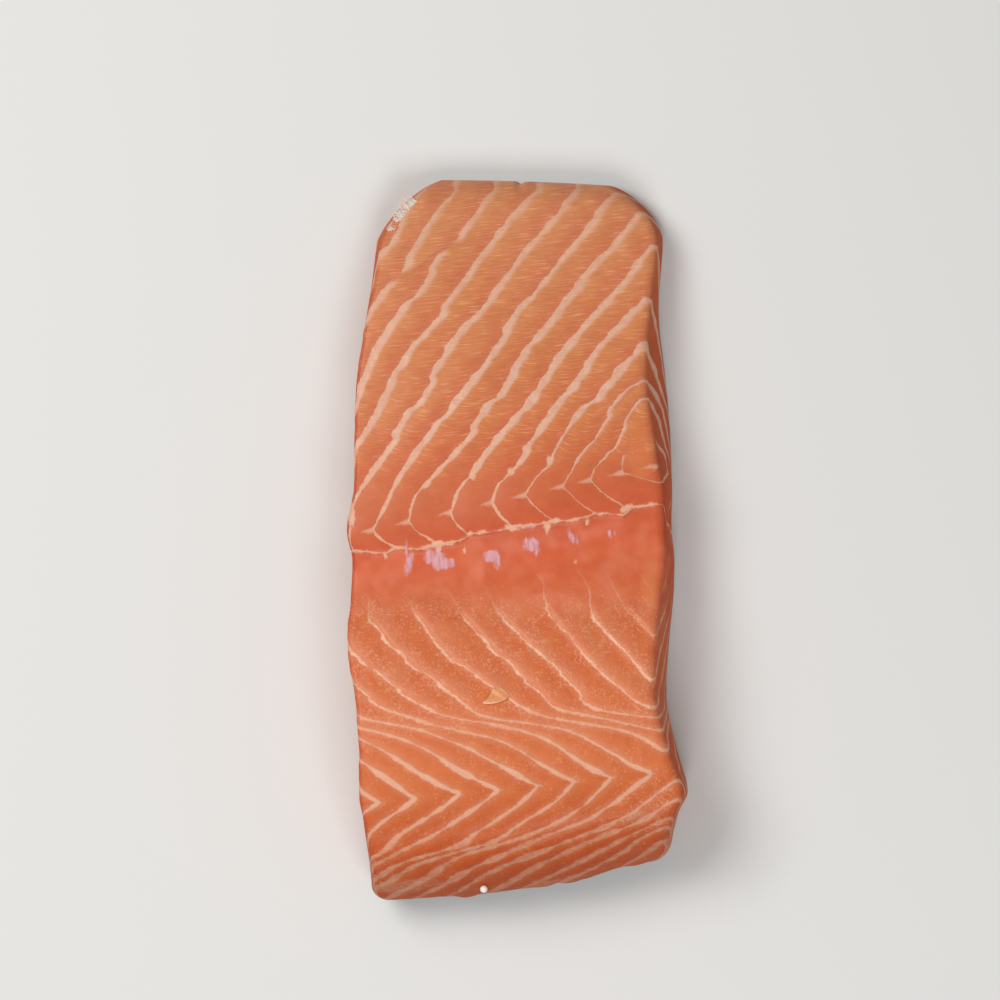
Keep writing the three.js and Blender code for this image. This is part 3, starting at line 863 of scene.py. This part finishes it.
def raw_flesh(tree):
    """Raw orange flesh: stripes where sheets of fat surface, fibres in the belly, grain in the loin."""
    place = object_place(tree)
    ragged = noise(place, 0.9 * MM, 3, 0.65) - 0.5
    wander = noise(place, 3.0 * MM, 1) - 0.5
    slow = noise(place, 6.0 * MM, 1) - 0.5
    mottle = noise(place, 6.0 * MM) - 0.5
    striated, ledged = stored(tree, "striated"), stored(tree, "ledged")
    signed, inside, stripe = stripes(tree, ragged, wander, slow)
    fat = largest(stripe, seam_and_lumps(tree, signed, ragged, wander))
    speckle, grain_height, glint = wet_grain(place, stored(tree, "grain"))

    # Fibres: thin streaks across the belly, stretched along their run, a few of them with painted
    # highlights.
    along_and_across = {0: stored(tree, "fibre_run"), 1: stored(tree, "fibre_across")}
    streaks = noise(Value(put(tree, "ShaderNodeCombineXYZ", along_and_across).outputs[0]), 1.0, 1.5)
    fibre = (streaks - 0.5) * striated
    highlighted_tufts = striated * fade(wander, -0.1, 0.12, 0.3, 1.0)

    # The marks of the pin bones, drawn out along y.
    drawn_out = noise(vector_calc(tree, "MULTIPLY", {0: place, 1: BONE_MARK_STRETCH}), 1.0 * MM) - 0.5
    mark = fade(stored(tree, "bone_mark") + ragged * 0.9 + drawn_out * 0.7, 0.3, -0.35)

    # Colour: the tone of the level, darkened or lightened, with all the other colours over it.
    lightness = weighed(LIGHTENS, mottle=mottle, fibre=fibre, speckle=speckle, wander=wander)
    # painted shade: a darker, redder band in the recess just left of each sheet's ledge
    ledge_shade_mask = fade(signed, -1.5, -0.3) * fade(signed, 0.05, -0.2)
    film = fade(stored(tree, "film") + wander * 3.0, 0.6, -0.8) * fade(ragged, -0.2, 0.1, 0.2, 0.55)
    colour = layered(
        relit(stored(tree, "flesh_tone", "Color"), lightness),
        (GOLD, stored(tree, "gold") * 0.5),
        # painted shade in the recess beside each ledge of the loin
        (PAINTED_LEDGE_SHADE, ledge_shade_mask * ledged * fade(mottle, -0.15, 0.1, 0.15, 0.6)),
        (TAN, fade(mottle, -0.05, 0.2, 0.0, 0.4) * ledged),
        (HAZE, fade(slow, -0.05, 0.2, 0.0, 0.45) * stored(tree, "trough")),
        (PALE_GRAIN, fade(speckle, 0.01, 0.14, 0.0, 0.42)),
        # painted highlights on a few of the fibres
        (PAINTED_FIBRE_HIGHLIGHT, fade(streaks, 0.55, 0.7) * highlighted_tufts * 0.38),
        # painted shade in the fold of the tear
        (TEAR_FOLD_SHADE, stored(tree, "crease") * 0.35),
        (FILM, film),
        (fat_colour_of(tree, place, inside, ragged * 0.4 + fibre * 0.2), fat * 0.96),
        (tint(fade(drawn_out, -0.16, 0.16), *BONE_MARK), mark * 0.88),
        # painted highlights on the wet tips of the grain, which are also made smoother
        (PAINTED_GLINT, glint * 0.5),
    )

    dull = stored(tree, "dull")
    return {
        "Base Color": colour,
        "Roughness": dull * 0.4 + 0.4 - glint * 0.25,
        "Normal": bump(weighed(STANDS, grain=grain_height, fibre=fibre, fat=fat, mark=mark)),
        "Specular IOR Level": 0.17,
        "Subsurface Weight": 0.2,
        "Subsurface Radius": FLESH_GLOW,
        "Subsurface Scale": 1.2 * MM,
        "Coat Weight": (1.0 - dull) * 0.04,
        "Coat Roughness": 0.15,
    }


def nearest(x, y, marks, power, hidden):
    """Millimetres to the nearest of some marks, negative inside; a high power makes them blocky."""
    gaps = []
    for mark in marks:
        a, b = turned(x, y, mark)
        radius = (np.abs(a) ** power + np.abs(b) ** power) ** (1 / power)
        gaps.append((radius - 1) * min(mark[2], mark[3]))
    return np.clip(np.minimum.reduce(gaps), -1, 2) + 3 * hidden


def toned(tone, turn, share):
    """A tone times turn, as far as share goes; turn is one colour, or one for each point."""
    return tone * (1 + (turn - 1) * share[..., None])


def between_turns(turns, share):
    """The colour on the way from the first of two to the second, for each point's share."""
    return np.stack([first + (second - first) * share for first, second in zip(*turns)], axis=-1)


def flesh_tone(lines, x, level, across, ledged, at, on_cut):
    """The tone of a level, with painted light and shade of the ledges between sheets, painted shade along
    the edges, and deeper red, partly painted shade, on the knife cuts.
    """
    tone = by_level(level, TONE_LEVEL, FLESH_TONE)
    tone = toned(tone, between_turns(BELLY_TURN, ease(across, 0.1, 0.9)), at["belly"])
    # painted light on the crest of each ledge and painted shade in the recess before the next sheet
    turning = np.maximum(ledged, 0.55 * at["turn"] + 0.35 * at["more turn"])
    tone = toned(tone, between_turns(LEDGE_LIGHT_AND_SHADE_TURN, ease(across, 0, 0.8)), turning)
    # painted shade: the flesh turns darker and redder close to the left and right edges, where the top
    # rounds over
    from_edge = np.minimum(x - lines["left"], lines["crest"] - x)
    tone = toned(tone, np.array(PAINTED_RIM_SHADE["turn"]), ease(from_edge, PAINTED_RIM_SHADE["reach"], 0))
    # the knife cuts turn deeper red: partly the cut flesh's own colour, partly painted shade of the steep
    # sides
    return tone + (np.array(CUT_FACE_TONE_AND_SHADE) - tone) * CUT_TONE_SHARE * on_cut[..., None]


def make_flesh():
    """The closed rings of the flesh, with everything that its material reads stored at their points."""
    w = length_shares(ROWS - ROWS // 8 - ROWS // 16)
    lines = section_lines(w)
    parts = [
        top_of_flesh(lines),
        side_of_flesh(lines, 1, "crest", "right_foot", "right_radius", 1),
        base_of_flesh(lines),
        tuple(part[:, ::-1] for part in side_of_flesh(lines, 0, "left", "left_foot", "left_radius", -1)),
    ]
    u, x, z, full = (np.concatenate(columns, axis=1) for columns in zip(*parts))
    y = y_at(w, u)
    points = np.stack([x, y, flesh_settled(w, u, z, full)], axis=-1)
    flesh = made_material("raw flesh", raw_flesh)
    piece = mesh_piece("flesh", points, skinned_rings(points, TOP_STEPS), flesh)
    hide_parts("fillet")

    depth = full - z
    sheet_x = x - SHEET_DIP * depth
    phase, level = sheet_phase(sheet_x, y), level_at(sheet_x, y)
    across = phase % 1
    at = {name: ease(level, *levels) for name, levels in SETS_IN.items()}
    cut = {name: ease(depth, *depths) for name, depths in ON_CUT.items()}
    off_cut = 1 - cut["face"]
    from_seam = above_seam(sheet_x, y)
    ledged = ledged_at(y)
    from_tear, torn = above_tear(sheet_x, y)
    thinner = (share * ease(phase, *sheets) * ease(level, *levels) for share, sheets, levels in THINNER)
    narrowed = 1 - np.maximum(*thinner) * off_cut

    # How strongly the sheets show: not in the tear, nor just under the seam, nor over the hook.
    higher = BEGIN_HIGHER["by"] * ease(x, *BEGIN_HIGHER["x"]) * ease(level, *BEGIN_HIGHER["levels"])
    strength = by_level(level - higher, SHEET_LEVEL, SHEET_STRENGTH)
    strength *= np.where(level - higher > LOIN_BEGINS, ease(from_seam, -0.7, 0), 1)
    strength *= 1 - torn * ease(np.abs(from_tear), 1.1, 0.4)
    over_hook = ease(phase, *HOOK["sheets"]) * ease(y, *HOOK["y"]) * ease(level, *HOOK["levels"])
    strength *= 1 - over_hook * off_cut

    # The grain is strong in the loin, less so towards the back, and strong again in a patch at the right.
    grain = 0.22 + at["loin"] * (0.8 - 0.45 * at["finer grain"]) - 0.15 * at["smooth back"]
    grain += 0.4 * ease(x, *PATCH_X) * at["coarse patch"] * at["end of patch"]

    # Fibres run nearly along x and sag a little between two sheets; their places are in their own sizes.
    sag = FIBRE_SAG["by"] * np.sin(np.pi * across) * ease(y, *FIBRE_SAG["y"])
    fibre_y = y - FIBRE_SLOPE["by"] * x * ease(y, *FIBRE_SLOPE["y"]) + sag
    kept = {
        "phase": phase,
        "spacing": spacing_of(phase, points),
        "jog": jogs(phase, level),
        "frayed": by_level(level, SHEET_LEVEL, FRAYED),
        "half_width": by_level(level, SHEET_LEVEL, HALF_WIDTH) * narrowed,
        "softness": by_level(level, SHEET_LEVEL, EDGE_SOFTNESS),
        "strength": strength,
        # where painted shade darkens the fold of the tear
        "crease": torn * ease(np.abs(from_tear + 0.3), 0.5, 0.1) * off_cut,
        "halo": by_level(level, HALO_LEVEL, HALO),
        "belly": at["belly"],
        "dull": np.maximum(cut["dull"], 0.7 * at["dull back"]),
        "striated": at["fibres"] * (1 - cut["no fibres"]),
        "above_seam": from_seam + 4 * cut["face"],
        "grain": grain * (1 - 0.6 * cut["face"]),
        "ledged": ledged,
        "trough": ease(from_seam, 0, -1) * at["trough"],
        "fibre_run": x / FIBRES["length"] + FIBRES["shift"] * phase,
        "fibre_across": fibre_y / FIBRES["width"],
        "bone_mark": nearest(x, y, BONE_MARKS, 3.0, cut["face"]),
        "fat_lump": nearest(x, y, FAT_LUMPS, 2.0, cut["face"]),
        "film": nearest(x, y, FILMS, 2.0, cut["face"]),
        "gold": ease(nearest(x, y, GOLD_PATCHES, 2.0, cut["face"]), 0.5, -0.8),
        "flesh_tone": flesh_tone(lines, x, level, across, ledged, at, cut["tone"]),
        "fat_tone": by_level(level, TONE_LEVEL, FAT_TONE),
    }
    for name, row in (("above_nodes", NODE_ROW), ("above_apexes", APEX_ROW)):
        above = y - SHEET_ROWS[row][0] - SHEET_ROWS[row][1] * sheet_x
        kept[name] = above + np.sign(above) * OUT_OF_SIGHT * cut["face"]
    for name, values in kept.items():
        give(piece, name, values)


make_flesh()

# ---- The skin ------------------------------------------------------------------------------------------
# The skin that stays on under the flesh: a thin scaly sheet, dark at the back and silver at the belly, cut
# off flush with the flesh at both sides and drawn up round both ends.
SKIN_ROWS = 240
SKIN_STEPS = 110
SKIN_LAP = 0.05  # how far the skin reaches into the flesh, so that no gap shows
SCALES_PER_METRE = (370.0, 540.0, 1.0)  # along x, which is the fish's length, and along y
SPOT_SPACING = 11 * MM
LATERAL_LINE_Y = 4 * MM
SILVER = (0.52, 0.52, 0.50)
GREY = (0.33, 0.36, 0.37)
DARK_BACK = (0.055, 0.07, 0.072)
SCALE_RIM = (0.20, 0.21, 0.21)
SPOT = (0.012, 0.014, 0.015)
LATERAL_LINE = (0.16, 0.17, 0.17)


def cells(tree, output, feeds, **settings):
    """One output of a pattern of cells."""
    return Value(put(tree, "ShaderNodeTexVoronoi", feeds, **settings).outputs[output])


def axis_of(place, axis):
    """One coordinate of a place."""
    return Value(put(place.tree, "ShaderNodeSeparateXYZ", {0: place}).outputs[axis])


def fish_skin(tree):
    """Cells for scales, silver turning dark towards the back, with black spots and a lateral line."""
    place = object_place(tree)
    y = axis_of(place, "Y")
    laid_out = vector_calc(tree, "MULTIPLY", {0: place, 1: SCALES_PER_METRE})
    scales = {"Vector": laid_out, "Scale": 1.0, "Randomness": 0.35}
    centre = cells(tree, "Position", scales, voronoi_dimensions="2D")
    from_rim = cells(tree, "Distance", scales, voronoi_dimensions="2D", feature="DISTANCE_TO_EDGE")
    lip = calc("ADD", axis_of(laid_out, "X") - axis_of(centre, "X"), 0.5, clamp=True)
    edge = fade(from_rim, 0.1, 0.02)
    towards_back = fade(y, 22 * MM, -45 * MM)
    spot = cells(tree, "Distance", {"Vector": place, "Scale": 1 / SPOT_SPACING, "Randomness": 1.0})
    spot = fade(spot + (noise(place, 1.8 * MM) - 0.5) * 0.22, 0.2, 0.14) * fade(y, 8 * MM, -6 * MM)
    line = fade(abs(y - LATERAL_LINE_Y), 0.7 * MM, 0.3 * MM) * fade(lip, 0.15, 0.4)
    colour = layered(
        SILVER,
        (GREY, fade(towards_back, 0.0, 0.45)),
        (DARK_BACK, fade(towards_back, 0.35, 1.0)),
        (SCALE_RIM, edge * 0.3),
        (SPOT, spot * 0.85),
        (LATERAL_LINE, line * 0.6),
    )
    return {
        "Base Color": colour,
        "Roughness": fade(noise(place, 3 * MM), 0.3, 0.7, 0.24, 0.38),
        "Normal": bump(lip * 0.15 - edge * 0.12),
        "Metallic": 0.3,
    }


def make_skin():
    """Closed rings round the sheet: its inner face from left to right, then its outer face back."""
    w = length_shares(SKIN_ROWS - SKIN_ROWS // 8 - SKIN_ROWS // 16)
    lines = section_lines(w)
    u = np.linspace(0, 1, SKIN_STEPS + 1) + 0 * w
    x = lines["left_foot"] + (lines["right_foot"] - lines["left_foot"]) * u
    y = y_at(w, u)
    outer = settled(w, u, 0 * u, 1 + 0 * u)
    inner_face = np.stack([x, y, outer + SKIN_THICKNESS + SKIN_LAP], axis=-1)
    outer_face = np.stack([x, y, outer], axis=-1)[:, ::-1]
    points = np.concatenate([inner_face, outer_face], axis=1)
    skin = made_material("fish skin", fish_skin)
    mesh_piece("skin", points, skinned_rings(points, SKIN_STEPS), skin)


make_skin()

# ---- The torn flap -------------------------------------------------------------------------------------
# A scrap of flesh that came loose on the loin and lies over a ledge. It is a thin leaf, still joined at its
# upper side and lifted at its lower rim, and more yellow than the flesh because it is so thin.
FLAP_MIDDLE = (-4.5, -34.0)
FLAP_RIM = [
    (3.0, 0.0), (1.8, 1.4), (0.3, 2.2), (-1.1, 1.7), (-1.4, 0.5), (-2.1, -0.5), (-3.5, -1.75), (-1.1, -1.9),
    (0.8, -1.35), (2.0, -1.0),
]
FLAP_THICKNESS = 0.34
FLAP_BELLY = 0.2  # how deep its underside sags
FLAP_LIFT = 0.3
FLAP_LIFTS_BETWEEN = (-1.2, 1.6)  # how far below its middle it starts to lift and is lifted in full
FLAP_PALE_BETWEEN = (0.2, 1.5)
FLAP_GAP = 0.02  # how far the rest of its rim stays clear of the flesh
FLAP_GRAIN = 0.7
THIN_FLESH = (0.80, 0.30, 0.12)
THIN_RIM = (0.92, 0.50, 0.28)
FLAP_RINGS = 9
FLAP_TURNS = 96
FLAP_SMOOTHING = 8  # how many of these turns, to either side, round off the outline's corners


def thin_flesh(tree):
    """The same wet flesh, thin enough to look more yellow than the rest, and palest at its lifted rim."""
    speckle, grain_height, _ = wet_grain(object_place(tree), FLAP_GRAIN)
    colour = tint(fade(stored(tree, "rim"), 0.6, 1.0), THIN_FLESH, THIN_RIM)
    return {
        "Base Color": vector_calc(tree, "SCALE", {0: colour, "Scale": speckle * 0.6 + 1.0}),
        "Roughness": 0.35,
        "Normal": bump(grain_height * 0.2),
        "Subsurface Weight": 0.3,
        "Subsurface Radius": FLESH_GLOW,
        "Subsurface Scale": 1.5 * MM,
    }


def make_flap():
    """A lens over the leaf's outline: rings that widen over its upper face and narrow again under it."""
    turn = np.arange(FLAP_TURNS) / FLAP_TURNS
    corners = np.arange(len(FLAP_RIM)) / len(FLAP_RIM)
    rim_x, rim_y = (np.interp(turn, corners, column, period=1) for column in zip(*FLAP_RIM))
    bell = np.exp(-np.linspace(-2, 2, 2 * FLAP_SMOOTHING + 1) ** 2)
    smooth = lambda line: np.convolve(np.pad(line, FLAP_SMOOTHING, "wrap"), bell / bell.sum(), "valid")
    rim_x, rim_y = smooth(rim_x), smooth(rim_y)
    out = np.sin(np.linspace(0.02, np.pi / 2, FLAP_RINGS))[:, None]
    x, y = FLAP_MIDDLE[0] + rim_x * out, FLAP_MIDDLE[1] + rim_y * out
    lift = FLAP_LIFT * ease(-rim_y * out, *FLAP_LIFTS_BETWEEN) + FLAP_GAP
    body = FLAP_THICKNESS * rounding(1 - out, 1)
    bed = sum(on_top(x + dx, y + dy) for dx, dy in ((-1, 0), (1, 0), (0, -1), (0, 1))) / 4
    upper = np.stack([x, y, bed + lift + body], axis=-1)
    lower = np.stack([x, y, bed + lift - FLAP_BELLY * (1 - out)], axis=-1)[-2::-1]
    points = np.concatenate([upper, lower])[::-1]
    material = made_material("thin flesh", thin_flesh)
    piece = mesh_piece("torn_flap", points, skinned_rings(points), material)
    lower_rim = out * ease(-rim_y * out, *FLAP_PALE_BETWEEN)
    give(piece, "rim", np.concatenate([lower_rim, lower_rim[-2::-1]])[::-1])


make_flap()

# ---- The frayed lining ---------------------------------------------------------------------------------
# The belly's pale lining, torn off along the left corner of the thin end. What is left is a row of short
# tapered threads that are rooted in the flesh and stick out over the edge.
THREAD_POINTS = 6
THREAD_SIDES = 5
THREAD_RADIUS = 0.2
THREAD_HEADING = np.radians(148)
# The tufts: how far from the belly end each begins and ends, its threads and the longest of them.
TUFTS = [(5.0, 6.9, 60, 2.4), (7.3, 8.6, 40, 2.0), (9.0, 9.6, 16, 1.5), (10.9, 11.7, 14, 1.4)]
LINING_INSET = 1.6
LINING_SINK = 0.12  # how deep the threads are rooted
LINING_COLOURS = ((0.80, 0.58, 0.47), (0.93, 0.80, 0.73))
LINING_SEED = 21
# The ends between which each trait of a thread is drawn. Its length is a share of its tuft's longest, its
# lean up or down a share of its own length, and its radius a share of the usual one.
THREAD_VARIES = {
    "place": (-0.15, 0.15), "inset": (-0.6, 0.7), "heading": (-0.3, 0.3), "length": (0.4, 1.0),
    "bend": (-0.4, 0.4), "lean": (-0.25, 0.15), "radius": (0.6, 1.3),
}
THREAD_RISE = 0.25  # how far its tip stands above its root, without its lean
THREAD_TAPER = 0.8  # how much of its radius is gone at its tip
THREAD_FLATNESS = 0.6  # its height as a share of its width


def belly_lining(tree):
    """Pale threads, a little whiter in some places than in others."""
    return {
        "Base Color": tint(noise(object_place(tree), 0.8 * MM), *LINING_COLOURS),
        "Roughness": 0.45,
        "Subsurface Weight": 0.2,
        "Subsurface Scale": 1.0 * MM,
    }


def make_lining():
    """Each thread is a tapered tube along an arc from its root outwards; all of them are one array."""
    random = np.random.default_rng(LINING_SEED)
    vary = lambda trait: random.uniform(*THREAD_VARIES[trait], threads)
    from_end = np.concatenate([np.linspace(start, end, count) for start, end, count, _ in TUFTS])
    longest = np.concatenate([np.full(count, length) for _, _, count, length in TUFTS])
    threads = len(from_end)
    from_end += vary("place")
    w = ((BELLY_END - from_end - BACK_END) / (BELLY_END - BACK_END))[:, None]
    root_x = section_lines(w)["left"][:, 0] + LINING_INSET + vary("inset")
    root_y = BELLY_END - from_end
    heading = THREAD_HEADING + vary("heading")
    length = vary("length") * longest
    share = np.linspace(0, 1, THREAD_POINTS)
    reach = length[:, None] * share
    bend = heading[:, None] + vary("bend")[:, None] * share
    x, y = root_x[:, None] + reach * np.cos(bend), root_y[:, None] + reach * np.sin(bend)
    lean = (vary("lean") * length)[:, None] * share**2
    root_z = on_top(root_x[:, None] + 0 * share, root_y[:, None] + 0 * share) - LINING_SINK
    z = root_z + THREAD_RISE * share + lean
    radius = THREAD_RADIUS * (1 - THREAD_TAPER * share) * vary("radius")[:, None]
    turn = 2 * np.pi * np.arange(THREAD_SIDES) / THREAD_SIDES
    sideways = np.stack([-np.sin(bend), np.cos(bend)], axis=-1)[:, :, None] * radius[..., None, None]
    rings = np.stack([x, y, z], axis=-1)[:, :, None, :] + np.concatenate([
        sideways * np.cos(turn)[:, None],
        (radius[..., None] * np.sin(turn))[..., None] * THREAD_FLATNESS,
    ], axis=-1)
    faces = []
    for number, thread in enumerate(rings):
        first = number * THREAD_POINTS * THREAD_SIDES
        faces += [[first + place for place in face] for face in skinned_rings(thread)]
    mesh_piece("frayed_lining", rings, faces, made_material("belly lining", belly_lining))


make_lining()

# ---- The drop of fat -----------------------------------------------------------------------------------
# A white bead that sits on the rounded back end. It is a plain ball of set fat, and over a third of it is
# sunk into the flesh.
DROP_PLACE = (-7.4, -77.3)
DROP_RADIUS = 0.85
DROP_ABOVE = 0.25  # how far its middle stands above the flesh, as a share of its radius
DROP_STEPS = 24
DROP_POLE = 0.05  # the turn at which its first and last ring stay open, for a cap to close
SET_FAT_COLOURS = ((0.80, 0.74, 0.66), (0.90, 0.87, 0.82))


def set_fat(tree):
    """White fat with a faint cloud in it."""
    return {"Base Color": tint(noise(object_place(tree), 0.7 * MM), *SET_FAT_COLOURS), "Roughness": 0.25}


def make_drop():
    """A ball: rings from its lowest point to its top."""
    polar = np.linspace(DROP_POLE, np.pi - DROP_POLE, DROP_STEPS)[:, None]
    turn = (2 * np.pi * np.arange(DROP_STEPS) / DROP_STEPS)[None, :]
    middle = on_top(*(np.array([[value]]) for value in DROP_PLACE)) + DROP_ABOVE * DROP_RADIUS
    x = DROP_PLACE[0] + DROP_RADIUS * np.sin(polar) * np.cos(turn)
    y = DROP_PLACE[1] + DROP_RADIUS * np.sin(polar) * np.sin(turn)
    z = middle - DROP_RADIUS * np.cos(polar) + 0 * turn
    points = np.stack([x, y, z], axis=-1)
    mesh_piece("fat_drop", points, skinned_rings(points), made_material("set fat", set_fat))


make_drop()

# ---- The floor, the light and the camera ---------------------------------------------------------------
# A plain pale floor under the fillet, a soft light from the left of the belly end, a weaker one from the
# back end, and a camera straight above. The lights and the camera are placed in metres.
FLOOR_SIZE = 3000.0
FLOOR_GAP = 0.05
FLOOR_COLOUR = (0.72, 0.72, 0.71)
SKY_COLOUR = (0.97, 0.97, 0.98)
SKY_STRENGTH = 0.25
CAMERA_PLACE = (-0.0038, 0.0092, 1.6)
FRAME_WIDTH = 0.225
SENSOR_WIDTH = 36.0

floor_look = made_material("pale floor", lambda tree: {"Base Color": FLOOR_COLOUR, "Roughness": 0.7})
floor_corners = np.array([(-1, -1), (1, -1), (1, 1), (-1, 1)]) * FLOOR_SIZE / 2
floor_mesh = bpy.data.meshes.new("floor")
floor_mesh.from_pydata([(x * MM, y * MM, -FLOOR_GAP * MM) for x, y in floor_corners], [], [(0, 1, 2, 3)])
floor_mesh.materials.append(floor_look)
floor = bpy.data.objects.new("floor", floor_mesh)
bpy.context.scene.collection.objects.link(floor)
floor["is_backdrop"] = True


def soft_light(name, place, size, power, colour):
    """A square area light that faces the fillet from a place in metres."""
    lamp = bpy.data.lights.new(name, "AREA")
    lamp.size = size
    lamp.energy = power
    lamp.color = colour
    light = bpy.data.objects.new(name, lamp)
    light.location = place
    light.rotation_mode = "QUATERNION"
    light.rotation_quaternion = (-light.location).to_track_quat("-Z", "Y")
    bpy.context.scene.collection.objects.link(light)


soft_light("window", (-0.5, 0.3, 0.9), 0.5, 7.0, (1.0, 0.98, 0.95))
soft_light("front", (0.12, -0.62, 0.9), 0.5, 5.0, (1.0, 0.99, 0.98))

world = bpy.data.worlds.new("studio")
world.use_nodes = True
background = world.node_tree.nodes["Background"].inputs
background["Color"].default_value = (*SKY_COLOUR, 1)
background["Strength"].default_value = SKY_STRENGTH
bpy.context.scene.world = world

camera_data = bpy.data.cameras.new("camera")
camera_data.sensor_width = SENSOR_WIDTH
camera_data.lens = SENSOR_WIDTH * CAMERA_PLACE[2] / FRAME_WIDTH
camera = bpy.data.objects.new("camera", camera_data)
camera.location = CAMERA_PLACE
bpy.context.scene.collection.objects.link(camera)
bpy.context.scene.camera = camera
bpy.context.scene.view_settings.view_transform = "Standard"

{"cad": cad_box, "visual": [list(corner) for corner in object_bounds()]}
